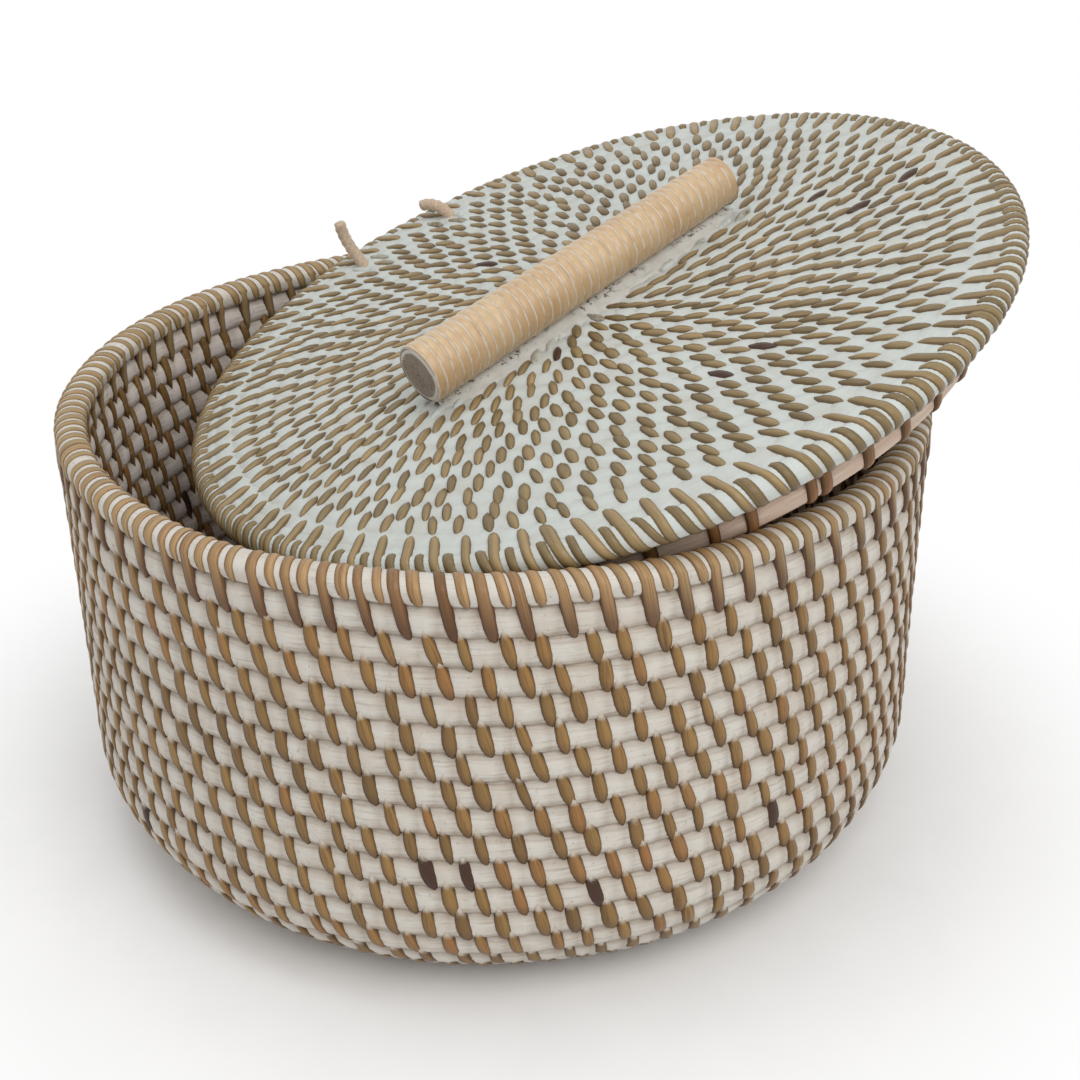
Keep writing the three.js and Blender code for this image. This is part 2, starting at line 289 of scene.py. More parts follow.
class Stitch:
    """The outline of a strip over one rod: how far it reaches, its width, lean, lift and taper."""

    def __init__(self, over_top, over_end, width, lean, stations, lift, taper, pale_tip=0.0):
        self.over_top = over_top      # millimetres up the rod above
        self.over_end = over_end      # and down the rod below
        self.width = width
        self.lean = lean              # sideways from its top to its end
        self.stations = np.array(stations)
        self.lift = np.array(lift)    # as a share of the rod's half thickness
        self.taper = np.array(taper)
        self.bleach = pale_tip * np.clip(1 - self.stations / PALE_TIP, 0, 1)
        self.deep = np.clip((self.stations - PAINTED_SHADE_FROM) / (1 - PAINTED_SHADE_FROM), 0, 1)

    def profile(self, surface, centre, half_pitch, thickness, side):
        """Radius and height along the strip, and the direction away from the rod."""
        length = 2 * half_pitch + self.over_top + self.over_end
        along = centre + half_pitch + self.over_top - self.stations * length
        lift = side * thickness / 2 * self.lift
        r, z = surface(along, lift)
        r_out, z_out = surface(along, lift + side)
        return (r, z), (r_out - r, z_out - z)


WALL_OUTSIDE = Stitch(over_top=2.9, over_end=1.0, width=3.9, lean=2.4,
                      stations=(0, 0.1, 0.22, 0.34, 0.48, 0.62, 0.76, 0.88, 1),
                      lift=(1.02, 1.03, 1.02, 1.04, 1.08, 1.09, 1.03, 0.92, 0.72),
                      taper=(0.08, 0.38, 0.68, 0.9, 1.0, 1.0, 0.88, 0.62, 0.22), pale_tip=1.0)
WALL_INSIDE = Stitch(over_top=2.0, over_end=2.2, width=3.3, lean=-2.4,
                     stations=(0, 0.12, 0.26, 0.45, 0.65, 0.82, 1),
                     lift=(0.96, 1.03, 1.06, 1.09, 1.07, 1.0, 0.94),
                     taper=(0.3, 0.8, 1.0, 1.0, 0.8, 0.5, 0.1))
LID_TOP = Stitch(over_top=1.2, over_end=0.8, width=3.2, lean=-2.6,
                 stations=(0, 0.08, 0.2, 0.36, 0.5, 0.64, 0.8, 0.92, 1),
                 lift=(0.98, 1.05, 1.09, 1.13, 1.15, 1.14, 1.10, 1.04, 0.96),
                 taper=(0.2, 0.56, 0.84, 0.98, 1.0, 0.97, 0.82, 0.54, 0.2))
FLAT_HIDDEN = Stitch(over_top=1.6, over_end=0.6, width=3.2, lean=-0.6,
                     stations=(0, 0.15, 0.35, 0.6, 0.85, 1),
                     lift=(0.98, 1.06, 1.11, 1.12, 1.06, 0.94),
                     taper=(0.1, 0.6, 1.0, 1.0, 0.7, 0.15))


def add_bands(builder, place, profile, outward, width, azimuths, lean, tones, washes, bleach, deep):
    """Strips along an outline of radius and height, one at each azimuth, with a crowned face."""
    radius, height = profile
    run = np.linspace(0, 1, len(radius))[:, None]
    r = radius[:, None] - CROWN * outward[0][:, None]
    z = height[:, None] - CROWN * outward[1][:, None]
    flip = (np.gradient(height) * outward[0] - np.gradient(radius) * outward[1]).sum() < 0
    for azimuth, tone, wash in zip(azimuths, tones, washes):
        wide = width * (1 + WIDTH_SPREAD * random.normal())
        tilt = lean * (1 + LEAN_SPREAD * random.normal())
        aside = ACROSS * wide[:, None] / 2 + tilt[:, None]
        points = place(r, z, azimuth + aside / np.maximum(radius[:, None], LEAST_RADIUS))
        builder.add(points, flip=flip, across=ACROSS, run=run, bleach=bleach[:, None], deep=deep[:, None],
                    tone=tone, wash=wash)


def add_stitches(builder, surface, place, stitch, rod, side, azimuths, tones, washes):
    """One round of strips over a rod, given as its middle, half pitch and thickness."""
    centre, half_pitch, thickness = rod
    lean = stitch.lean * (stitch.stations - 0.5)
    for variant in range(VARIANTS):
        some = slice(variant, None, VARIANTS)
        middle = centre + random.normal(0, VARIANT_SPREAD)
        profile, outward = stitch.profile(surface, middle, half_pitch, thickness, side)
        add_bands(builder, place, profile, outward, stitch.width * stitch.taper, azimuths[some], lean,
                  tones[some], washes[some], stitch.bleach, stitch.deep)


# Distances from strip to strip: spreads are shares of the distance itself
WALL_SPACING_SPREAD = 0.07
LID_SPACING_SPREAD = 0.04
FLAT_SPACING = 6.2           # at the middle of a flat coil
FLAT_SPACING_GROWS = 0.01    # for each millimetre out
LEAST_STITCHES = 5
SETTLING = 4                 # times that strips move towards the middle between their neighbours
EVENING = 0.15               # the share of the way that they move to even places


def spread(count, phase):
    """Azimuths of one round of strips, spaced by hand."""
    step = TURN / count
    return ((np.arange(count) + phase) * step + random.normal(0, WALL_SPACING_SPREAD, count) * step) % TURN


def stitch_count(radius):
    """Strips in a round of a flat coil: they stand further apart towards its edge."""
    spacing = FLAT_SPACING + FLAT_SPACING_GROWS * radius
    return max(LEAST_STITCHES, round(TURN * radius / spacing))


def next_round(azimuths, count, shift):
    """The next round out of a flat coil: a strip beside each of this round, and new ones in wide gaps."""
    following = np.append(azimuths[1:], azimuths[0] + TURN)
    sectors = np.array_split(np.arange(len(azimuths)), count - len(azimuths))
    widest = [sector[(following - azimuths)[sector].argmax()] for sector in sectors]
    places = np.sort(np.append(azimuths, (azimuths[widest] + following[widest]) / 2))
    for _ in range(SETTLING):
        before = np.insert(places[:-1], 0, places[-1] - TURN)
        after = np.append(places[1:], places[0] + TURN)
        places = places / 2 + (before + after) / 4
    steps = around(count)
    even = steps + (places - steps).mean()
    places += EVENING * (even - places)
    return places + shift + random.normal(0, LID_SPACING_SPREAD, count) * TURN / count


# Tones run from 0 to 1 through a strip's browns
TONE_RANGE = (0.25, 0.75)    # of a round
TONE_DRIFT = 0.22            # along a round
WALL_TONE_SPREAD = 0.1       # from strip to strip
LID_TONE_SPREAD = 0.18
EDGE_TONE_SPREAD = 0.15

# The few strips with dark skin: azimuth and height on the wall, X and Y on the lid
DARK_ON_WALL = ((-99, 46), (-94.5, 46), (-53.7, 45.5), (-79.3, 38), (70, 88), (152, 60), (-140, 30))
DARK_ON_LID = ((-35, 103), (-31, 48), (-9, -27), (42, -49), (32, -56), (92, 23), (80, 13), (72, 21))
DARK_TONE = -1.0
dark_on_wall = [(math.radians(azimuth), height) for azimuth, height in DARK_ON_WALL]
dark_on_lid = [(math.atan2(y, x), math.hypot(x, y)) for x, y in DARK_ON_LID]


def cane_tones(azimuths, spread_by, dark=(), row=0.0, row_width=0.0):
    """Tones along one round: the same cane runs on for a while, so neighbours are alike."""
    slow = TONE_DRIFT * np.sin(2 * azimuths + random.uniform(0, TURN))
    tones = random.uniform(*TONE_RANGE) + slow + random.normal(0, spread_by, len(azimuths))
    tones = np.clip(tones, 0, 1)
    for azimuth, at in dark:
        if abs(at - row) < row_width / 2:
            tones[np.abs(apart(azimuths, azimuth)).argmin()] = DARK_TONE
    return tones


# Materials

def linear(red, green, blue):
    """A colour as seen on screen, 0 to 255, as the linear values that shaders use."""
    values = np.array((red, green, blue)) / 255
    low = values / 12.92
    high = ((values + 0.055) / 1.055) ** 2.4
    return (*np.where(values <= 0.04045, low, high), 1.0)


class Nodes:
    """A node tree whose nodes are added with short calls."""

    def __init__(self, tree):
        self.tree = tree

    def add(self, kind, inputs, **settings):
        made = self.tree.nodes.new(kind)
        for name, value in settings.items():
            setattr(made, name, value)
        for name, value in inputs.items():
            self.set(made.inputs[name], value)
        return made

    def set(self, socket, value):
        if isinstance(value, bpy.types.NodeSocket):
            self.tree.links.new(value, socket)
        else:
            socket.default_value = value

    def place(self):
        return self.add("ShaderNodeTexCoord", {}).outputs["Object"]

    def value(self, name):
        return self.add("ShaderNodeAttribute", {}, attribute_name=name).outputs["Fac"]

    def noise(self, vector, scale, detail=3.0, roughness=0.55):
        inputs = {"Vector": vector, "Scale": scale, "Detail": detail, "Roughness": roughness}
        return self.add("ShaderNodeTexNoise", inputs).outputs["Fac"]

    def vector(self, x, y, z):
        return self.add("ShaderNodeCombineXYZ", {"X": x, "Y": y, "Z": z}).outputs[0]

    def math(self, operation, first, second=0.0):
        made = self.add("ShaderNodeMath", {}, operation=operation)
        self.set(made.inputs[0], first)
        self.set(made.inputs[1], second)
        return made.outputs[0]

    def times(self, first, second):
        return self.math("MULTIPLY", first, second)

    def plus(self, first, second):
        return self.math("ADD", first, second)

    def ramp(self, factor, *stops):
        made = self.add("ShaderNodeValToRGB", {"Fac": factor})
        elements = made.color_ramp.elements
        while len(elements) < len(stops):
            elements.new(0.5)
        for element, (position, colour) in zip(elements, stops):
            element.position = position
            element.color = colour
        return made.outputs["Color"]

    def span(self, factor, low, high):
        """The factor stretched so that low becomes 0 and high becomes 1."""
        inputs = {"Value": factor, "From Min": low, "From Max": high}
        return self.add("ShaderNodeMapRange", inputs, clamp=True).outputs["Result"]

    def mix(self, factor, first, second):
        made = self.add("ShaderNodeMix", {}, data_type="RGBA")
        low, high = (socket for socket in made.inputs if socket.type == "RGBA")
        self.set(made.inputs[0], factor)
        self.set(low, first)
        self.set(high, second)
        return next(socket for socket in made.outputs if socket.type == "RGBA")

    def bump(self, height, strength, distance):
        inputs = {"Height": height, "Strength": strength, "Distance": distance}
        return self.add("ShaderNodeBump", inputs).outputs["Normal"]


class Shader(Nodes):
    """A Principled material."""

    def __init__(self, name):
        self.material = bpy.data.materials.new(name)
        self.material.use_nodes = True
        super().__init__(self.material.node_tree)
        self.surface = self.tree.nodes["Principled BSDF"]

    def finish(self, **inputs):
        for name, value in inputs.items():
            self.set(self.surface.inputs[name.replace("_", " ")], value)
        return self.material


# Painted light: the inner side of the rods is whiter than the outer, to lighten the shaded inside of the
# box
INSIDE_LIT_WHITE = linear(238, 229, 222)
DARK_SKIN = linear(68, 44, 30)


def whitewashed_rod(name, pale, warm, shade, dirt_and_shade):
    """Rattan rod under a thin coat of white paint: streaks along it, pits, and painted shade darkening it
    towards the grooves and in the hollow beside each strip.
    """
    shader = Shader(name)
    place = shader.place()
    around_rod = shader.times(shader.value("around"), 0.07)
    along_rod = shader.times(shader.value("along"), 1.7)
    streaks = shader.noise(shader.vector(around_rod, along_rod, 0.0), 1.0, 4.0, 0.6)
    patches = shader.noise(place, 110.0, 3.0)
    pits = shader.noise(place, 900.0, 2.0)
    colour = shader.ramp(patches, (0.36, warm), (0.56, pale))
    colour = shader.mix(shader.value("inside"), colour, INSIDE_LIT_WHITE)
    uneven_shade = shader.plus(shader.times(streaks, 0.8), shader.times(patches, 0.5))
    # Painted shade: darker towards the grooves and in the hollow beside each strip, broken up by streaks
    # and patches
    groove_shade = shader.plus(shader.value("groove"), uneven_shade)
    for cover, low, high in ((groove_shade, 1.1, 1.8), (streaks, 0.56, 0.80), (pits, 0.64, 0.80)):
        colour = shader.mix(shader.times(shader.span(cover, low, high), dirt_and_shade), colour, shade)
    relief = shader.plus(shader.times(streaks, 0.6), shader.times(pits, 0.4))
    return shader.finish(Base_Color=colour, Roughness=0.6, Normal=shader.bump(relief, 0.5, 0.0004))


def cane_strip(name, tones, dark, pale, roughness):
    """Split cane: each strip has its own brown, grain along it, painted shade at its edges, on its left
    side and towards its end, and paint left on it.
    """
    shader = Shader(name)
    place = shader.place()
    tone = shader.value("tone")
    across = shader.value("across")
    along_strip = shader.times(shader.value("run"), 1.1)
    own_grain = shader.times(tone, 97.0)
    grain = shader.noise(shader.vector(shader.times(across, 4.0), along_strip, own_grain), 1.0, 3.0, 0.6)
    # Painted shade: darker at the strip's edges, where it falls away to the rod, and on its left side
    edge = shader.span(shader.math("ABSOLUTE", across), 0.55, 1.0)
    shaded = shader.times(shader.span(across, 0.2, -1.0), 0.45)
    # Painted shade: darker towards a strip's end and on the lower side of the coils
    deep = shader.times(shader.value("deep"), 0.75)
    colour = shader.ramp(tone, *tones)
    for cover in (shader.span(grain, 0.5, 0.9), edge, shaded, deep):
        colour = shader.mix(cover, colour, dark)
    colour = shader.mix(shader.span(tone, -0.3, -0.6), colour, DARK_SKIN)
    patches = shader.noise(place, 420.0, 4.0, 0.65)
    left = shader.plus(shader.value("bleach"), shader.value("wash"))
    painted = shader.span(shader.plus(shader.times(patches, 0.9), left), 0.68, 1.15)
    colour = shader.mix(painted, colour, pale)
    rough = shader.plus(shader.times(painted, 0.3), roughness)
    return shader.finish(Base_Color=colour, Roughness=rough, Normal=shader.bump(grain, 0.35, 0.0003),
                         Specular_IOR_Level=0.3)


# The last number scales the painted shade in the grooves, and with it the darker streaks and pits
WALL_WHITE = whitewashed_rod("wall_rod", pale=linear(212, 207, 198), warm=linear(203, 194, 182),
                             shade=linear(140, 119, 97), dirt_and_shade=0.6)
LID_WHITE = whitewashed_rod("lid_rod", pale=linear(202, 207, 203), warm=linear(195, 197, 190),
                            shade=linear(160, 157, 147), dirt_and_shade=0.15)
WALL_TONES = ((0.0, linear(122, 94, 56)), (0.5, linear(154, 120, 70)), (1.0, linear(158, 108, 62)))
RIM_TONES = ((0.0, linear(106, 68, 36)), (0.5, linear(182, 146, 102)), (1.0, linear(160, 138, 98)))
LID_TONES = ((0.0, linear(124, 106, 72)), (0.5, linear(150, 128, 88)), (1.0, linear(168, 142, 100)))
WALL_STRIP = cane_strip("wall_strip", WALL_TONES, dark=linear(70, 47, 26), pale=linear(200, 190, 176),
                        roughness=0.42)
RIM_STRIP = cane_strip("rim_strip", RIM_TONES, dark=linear(76, 44, 24), pale=linear(214, 202, 186),
                       roughness=0.36)
LID_STRIP = cane_strip("lid_strip", LID_TONES, dark=linear(88, 70, 46), pale=linear(200, 206, 202),
                       roughness=0.28)


def bare_rod():
    """The stop rods: unpainted rattan core with long pores."""
    shader = Shader("bare_rod")
    around_rod = shader.times(shader.value("around"), 0.08)
    along_rod = shader.times(shader.value("along"), 2.4)
    pores = shader.noise(shader.vector(around_rod, along_rod, 0.0), 1.0, 4.0, 0.6)
    colour = shader.ramp(pores, (0.35, linear(220, 198, 180)), (0.7, linear(190, 160, 138)))
    return shader.finish(Base_Color=colour, Roughness=0.5, Normal=shader.bump(pores, 0.4, 0.0003))


def cane_end():
    """The sawn ends of the handle bar: grey-brown, full of pores, with paint round the edge."""
    shader = Shader("cane_end")
    place = shader.place()
    pores = shader.noise(place, 1500.0, 2.0)
    patches = shader.noise(place, 180.0, 3.0)
    colour = shader.ramp(patches, (0.3, linear(142, 128, 116)), (0.7, linear(168, 154, 140)))
    colour = shader.mix(shader.span(pores, 0.55, 0.72), colour, linear(100, 84, 72))
    edge = shader.plus(shader.value("share"), shader.times(patches, 0.16))
    colour = shader.mix(shader.span(edge, 0.94, 1.0), colour, linear(218, 212, 204))
    return shader.finish(Base_Color=colour, Roughness=0.8, Normal=shader.bump(pores, 0.5, 0.0004))


def handle_peel():
    """Glossy cane peel: fine lines along the strip, white paint caught between its turns."""
    shader = Shader("handle_peel")
    place = shader.place()
    across = shader.value("across")
    along_strip = shader.times(shader.value("run"), 0.12)
    lines = shader.noise(shader.vector(shader.times(across, 5.0), along_strip, 0.0), 1.0, 3.0, 0.6)
    patches = shader.noise(place, 70.0, 2.0)
    specks = shader.noise(place, 700.0, 2.0)
    colour = shader.ramp(patches, (0.32, linear(194, 160, 118)), (0.68, linear(210, 182, 142)))
    colour = shader.mix(shader.span(lines, 0.52, 0.8), colour, linear(172, 138, 98))
    ragged = shader.times(shader.noise(place, 380.0, 3.0), 0.5)
    paint = shader.plus(shader.math("ABSOLUTE", across), ragged)
    colour = shader.mix(shader.span(paint, 1.01, 1.16), colour, linear(224, 214, 200))
    relief = shader.plus(lines, specks)
    return shader.finish(Base_Color=colour, Roughness=0.28, Normal=shader.bump(relief, 0.35, 0.0003),
                         Coat_Weight=0.3, Coat_Roughness=0.12)


def filler_paint():
    """White filler under the handle, cracked and chipped, darkest against the bar."""
    shader = Shader("filler_paint")
    place = shader.place()
    lumps = shader.noise(place, 260.0, 4.0)
    specks = shader.noise(place, 620.0, 3.0, 0.7)
    stretches = shader.span(shader.noise(place, 38.0, 2.0), 0.40, 0.55)
    colour = shader.ramp(lumps, (0.3, linear(202, 200, 194)), (0.6, linear(214, 214, 209)))
    inner = shader.times(shader.span(shader.value("inner"), 0.38, 0.56), stretches)
    torn = shader.times(shader.span(specks, 0.56, 0.62), inner)
    colour = shader.mix(torn, colour, linear(96, 80, 64))
    relief = shader.math("SUBTRACT", lumps, shader.times(torn, 0.5))
    return shader.finish(Base_Color=colour, Roughness=0.75, Normal=shader.bump(relief, 0.6, 0.0006))


def cotton():
    """Twisted cotton: yarns round the cord, soft and matt."""
    shader = Shader("cotton")
    place = shader.place()
    yarns = shader.math("SINE", shader.times(shader.value("twist"), 3.0))
    fuzz = shader.noise(place, 1500.0, 4.0, 0.65)
    shade = shader.plus(shader.times(yarns, 0.12), fuzz)
    colour = shader.ramp(shade, (0.3, linear(186, 158, 132)), (0.7, linear(220, 200, 176)))
    return shader.finish(Base_Color=colour, Roughness=0.95, Sheen_Weight=0.4,
                         Normal=shader.bump(shade, 0.7, 0.0005))


BARE_ROD = bare_rod()
CANE_END = cane_end()
HANDLE_PEEL = handle_peel()
FILLER = filler_paint()
COTTON = cotton()


# Box

INSIDE_WASH = 0.2            # paint left on the strips inside, and more of it than outside as painted light for the shaded inside


def box_rows():
    """Each round of corner and wall: its part, number, middle and half width."""
    corner_step = corner_length / CORNER_ROWS
    for row in range(CORNER_ROWS):
        yield "corner", row + 1, (row + 0.5) * corner_step, corner_step / 2
    for row in range(WALL_ROWS):
        yield "wall", row + 1, corner_length + (row + 0.5) * wall_step, wall_step / 2


def make_box_rows():
    """Rods and strips of corner and wall. Returns the places of the strips over the top round."""
    for number, (part, row, centre, half) in enumerate(box_rows()):
        azimuths = spread(WALL_STITCHES, WALL_SHIFT * number)
        rod = (centre, half, ROD_THICKNESS)
        rods = Builder()
        add_rod(rods, box_surface, place_on_box, *rod, WALL_OVERLAP, azimuths, WALL_FACETS)
        rods.piece(f"{part}_rod_{row}", "box", "whitewashed_rod", WALL_WHITE, [f"{part}_coil_{row}"])
        if part == "wall" and row == WALL_ROWS:
            return azimuths
        height = box_surface(centre, 0)[1]
        tones = cane_tones(azimuths, WALL_TONE_SPREAD, dark_on_wall, height, 2 * half)
        strips = Builder()
        for stitch, side, wash in ((WALL_OUTSIDE, 1, 0.0), (WALL_INSIDE, -1, INSIDE_WASH)):
            washes = np.full(len(azimuths), wash)
            add_stitches(strips, box_surface, place_on_box, stitch, rod, side, azimuths, tones, washes)
        strips.piece(f"{part}_strips_{row}", "box", "wound_rim", WALL_STRIP)


def make_base():
    """The coiled base, whose strips alternate from round to round."""
    step = corner_centre / BASE_ROWS
    rods, strips = Builder(), Builder()
    for row in range(BASE_ROWS):
        centre = (row + 0.5 - BASE_ROWS) * step
        azimuths = spread(stitch_count(float(box_surface(centre, 0)[0])), 0.5 * (row % 2))
        rod = (centre, step / 2, ROD_THICKNESS)
        add_rod(rods, box_surface, place_on_box, *rod, LID_OVERLAP, azimuths, BASE_FACETS)
        tones = random.uniform(0, 1, len(azimuths))
        bare = np.zeros(len(azimuths))
        for side in (1, -1):
            add_stitches(strips, box_surface, place_on_box, FLAT_HIDDEN, rod, side, azimuths, tones, bare)
    rods.piece("base_rods", "box", "whitewashed_rod", WALL_WHITE, ["base_coil"])
    strips.piece("base_strips", "box", "wound_rim", WALL_STRIP)


# Wound coils

WRAP_PROUD = 0.45            # a wrapping strip's face over its core
CORE_GIRTH = 20.0            # over which the streaks of a core are spread
RIM_FACETS = 20
RIM_INSET = 0.35             # the rim's core inside its coil
RIM_DEEPER = (0.4, -0.2)     # below and above
RIM_POWERS = (3.2, 2.0)
RIM_WRAP_WIDTH = 3.4
RIM_LEAN = 0.2               # sideways for each millimetre along the strip
RIM_BACK = 2.6               # how far the long strips stand back from the wall's strips below them
EDGE_FACETS = 16
EDGE_INSET = 0.3
EDGE_WRAP_WIDTH = 3.2
EDGE_LEAN = 0.3

# Angles of long and short strips round the rim coil, and the taper of their ends
RIM_LONG = np.radians(np.linspace(16, 164, 13))
RIM_SHORT = np.radians(np.linspace(-50, 230, 17))
END_TAPER = (0.2, 0.55, 0.88)
INSIDE_TAPER = (1.0, 1.0, 0.97, 0.88, 0.68, 0.42, 0.12)

# Radius and height of a long rim strip on the wall's top round: outside going up, and inside going down
RIM_OUTSIDE = np.array(((118.6, 109.9), (119.4, 110.9), (119.9, 112.4), (120.2, 114.2), (120.25, 116.4),
                        (120.15, 118.8)))
RIM_INSIDE = np.array(((111.5, 120.4), (111.9, 118.6), (112.3, 116.8), (112.4, 115), (112.5, 113),
                       (112.9, 111), (113.6, 109.4)))

# The rim's strips are darkest round one azimuth: their tone there, and what is added far away from it
DARK_WRAPS = math.radians(-105)
DARK_REACH = 0.6             # radians
LONG_TONES = (0.22, 0.64)
SHORT_TONES = (0.5, 0.4)
RIM_TONE_SPREAD = 0.08
RIM_SHADE_DEPTH = 9.0        # below the rim coil's middle, where a long strip's painted shade is darkest


def slanted(radius, height, lean, coil_centre):
    """Sideways places along an outline that a strip crosses at a slant, from the top of its coil on."""
    length = np.append(0, np.hypot(np.diff(radius), np.diff(height)).cumsum())
    from_top = np.where(height < coil_centre[1], np.inf, np.abs(radius - coil_centre[0]))
    return lean * (length[from_top.argmin()] - length)


def outwards(radius, height):
    """Unit vectors across an outline that runs anticlockwise round its coil."""
    along = np.stack((np.gradient(radius), np.gradient(height)))
    along /= np.linalg.norm(along, axis=0)
    return along[1], -along[0]


def coil_outline(centre, half_width, half_depth, angles, power=2.0):
    across, up = outline(angles, power)
    return centre[0] + half_width * across, centre[1] + half_depth * up


def rim_outline(angles, proud):
    """The rim coil: round on top and squarer below, where paint fills the groove to the wall."""
    below = np.sin(angles) < 0
    depth = RIM_DEPTH / 2 + np.where(below, *RIM_DEEPER) + proud
    power = np.where(below, *RIM_POWERS)
    return coil_outline(rim_centre, RIM_WIDTH / 2 - RIM_INSET + proud, depth, angles, power)


def edge_outline(angles, proud):
    half = EDGE_DIAMETER / 2 - EDGE_INSET + proud
    return coil_outline(edge_centre, half, half, angles)


def add_coil_core(builder, place, coil, steps=240):
    """A rod bent to a ring, from the radius and height of its outline."""
    azimuth = around(steps)[:, None]
    radius, height, grid = np.broadcast_arrays(*coil, azimuth)
    builder.add(place(radius, height, grid), True, True, flip=True, around=azimuth * coil[0].mean(),
                along=np.linspace(0, CORE_GIRTH, len(coil[0])), groove=0.0, inside=0.0)


def rim_profile(long):
    """A strip over the rim coil, from outside to inside. A long one also covers the wall's top round."""
    radius, height = rim_outline(RIM_LONG if long else RIM_SHORT, WRAP_PROUD)
    if long:
        radius = np.concatenate((RIM_OUTSIDE[:, 0], radius, RIM_INSIDE[:, 0]))
        height = np.concatenate((RIM_OUTSIDE[:, 1], height, RIM_INSIDE[:, 1]))
    taper = np.ones(len(radius))
    taper[:len(END_TAPER)] = END_TAPER
    inner_end = INSIDE_TAPER if long else END_TAPER[::-1]
    taper[-len(inner_end):] = inner_end
    return radius, height, taper


def make_rim(long_places):
    """The rim coil and its strips, long and short by turns."""
    core = Builder()
    add_coil_core(core, place_on_box, rim_outline(around(RIM_FACETS), 0))
    core.piece("rim_core", "box", "whitewashed_rod", WALL_WHITE, ["rim_coil"])
    wraps = Builder()
    long_places = (long_places - RIM_BACK / BOX_RADIUS) % TURN
    short_places = (long_places + math.pi / len(long_places)) % TURN
    far = 1 - np.exp(-(apart(long_places, DARK_WRAPS) / DARK_REACH) ** 2)
    bare = np.zeros(len(far))
    kinds = ((long_places, LONG_TONES, True), (short_places, SHORT_TONES, False))
    for places, (darkest, added), long in kinds:
        radius, height, taper = rim_profile(long)
        tones = np.clip(darkest + added * far + random.normal(0, RIM_TONE_SPREAD, len(far)), 0, 1)
        lean = slanted(radius, height, RIM_LEAN, rim_centre)
        deep = np.clip((rim_centre[1] - height) / RIM_SHADE_DEPTH, 0, 1) * (radius > rim_centre[0])
        add_bands(wraps, place_on_box, (radius, height), outwards(radius, height), RIM_WRAP_WIDTH * taper,
                  places, lean, tones, bare, np.zeros(len(radius)), deep)
    wraps.piece("rim_wraps", "box", "wound_rim", RIM_STRIP)


# Lid

HOLES = (132.4, 113.1)       # azimuths of the cord holes in the lid's frame, in degrees
FIRST_STITCHES = 4           # at the middle of the coil

# Paint left on the strips: how much, and how far it reaches
LEFT_WASH, LEFT_REACH = 0.10, 50
LEFT_X, LEFT_Y = -70, -5
HOLE_WASH, HOLE_REACH = 0.7, 7
BAR_WASH, BAR_REACH = 0.7, 2.5
BAR_HALF_WIDTH = 5.5
BAR_PAST = 2                 # beyond the ends of the bar

# Paint fills the groove between panel and edge like one more rod
FILL_PAST = 0.6              # beyond the panel
FILL_THICKNESS = 0.94        # as a share of a rod's
FILL_OVERLAP = 1.3


def lid_wash(radius, azimuths):
    """How much paint the strips keep: more round the cord holes, beside the handle and on the left."""
    x, y = radius * np.cos(azimuths), radius * np.sin(azimuths)
    wash = LEFT_WASH * np.exp(-(np.hypot(x - LEFT_X, y - LEFT_Y) / LEFT_REACH) ** 2)
    for hole in HOLES:
        at = math.radians(hole)
        away = np.hypot(x - CORD_HOLE_RADIUS * math.cos(at), y - CORD_HOLE_RADIUS * math.sin(at))
        wash += HOLE_WASH * np.exp(-(away / HOLE_REACH) ** 2)
    along = x * math.cos(bar_azimuth) + y * math.sin(bar_azimuth)
    aside = np.abs(x * math.sin(bar_azimuth) - y * math.cos(bar_azimuth))
    beside = np.exp(-(np.maximum(aside - BAR_HALF_WIDTH, 0) / BAR_REACH) ** 2)
    return wash + BAR_WASH * beside * (np.abs(along) < HANDLE_LENGTH / 2 + BAR_PAST)


def make_lid():
    """The coiled panel. Returns the places of the strips over its outermost round."""
    rods, strips = Builder(), Builder()
    azimuths = around(FIRST_STITCHES)
    for row in range(LID_ROWS):
        centre = (row + 0.5) * lid_step
        count = stitch_count(centre)
        azimuths = next_round(azimuths, count, LID_SHIFT * TURN / count)
        rod = (centre, lid_step / 2, LID_ROD_THICKNESS)
        add_rod(rods, lid_surface, place_on_lid, *rod, LID_OVERLAP, azimuths, LID_FACETS)
        if row == LID_ROWS - 1:
            break
        tones = cane_tones(azimuths, LID_TONE_SPREAD, dark_on_lid, centre, lid_step)
        sides = ((LID_TOP, 1, lid_wash(centre, azimuths)), (FLAT_HIDDEN, -1, np.zeros(count)))
        for stitch, side, washes in sides:
            add_stitches(strips, lid_surface, place_on_lid, stitch, rod, side, azimuths, tones, washes)
    filled = (panel_radius + FILL_PAST, lid_step / 2, FILL_THICKNESS * LID_ROD_THICKNESS)
    add_rod(rods, lid_surface, place_on_lid, *filled, FILL_OVERLAP, azimuths, LID_FACETS)
    rods.piece("lid_rods", "lid", "whitewashed_rod", LID_WHITE, ["lid_coil"])
    strips.piece("lid_strips", "lid", "wound_rim", LID_STRIP)
    return azimuths


# Radius and height of a long edge strip over the lid's outermost round, from the edge coil inwards
EDGE_INWARDS = np.array(((113, 3.2), (111.4, 3.3), (110, 3.4), (108.9, 3.35), (107.8, 3.2), (106.8, 2.8)))
EDGE_INNER_TAPER = (1.0, 0.96, 0.82, 0.42)
EDGE_LONG = np.radians(np.linspace(-140, 95, 15))  # angles round the edge coil
EDGE_SHORT = np.radians(np.linspace(-140, 135, 15))
EDGE_SHADE_DEPTH = 4.0       # below the lid's middle, where a strip's painted shade is darkest


def edge_profile(long):
    """A strip over the lid's edge coil, from its underside up. A long one also covers the next round."""
    radius, height = edge_outline(EDGE_LONG if long else EDGE_SHORT, WRAP_PROUD)
    if long:
        radius = np.concatenate((radius, EDGE_INWARDS[:, 0]))
        height = np.concatenate((height, EDGE_INWARDS[:, 1]))
    taper = np.ones(len(radius))
    taper[-len(EDGE_INNER_TAPER):] = EDGE_INNER_TAPER
    return radius, height, taper


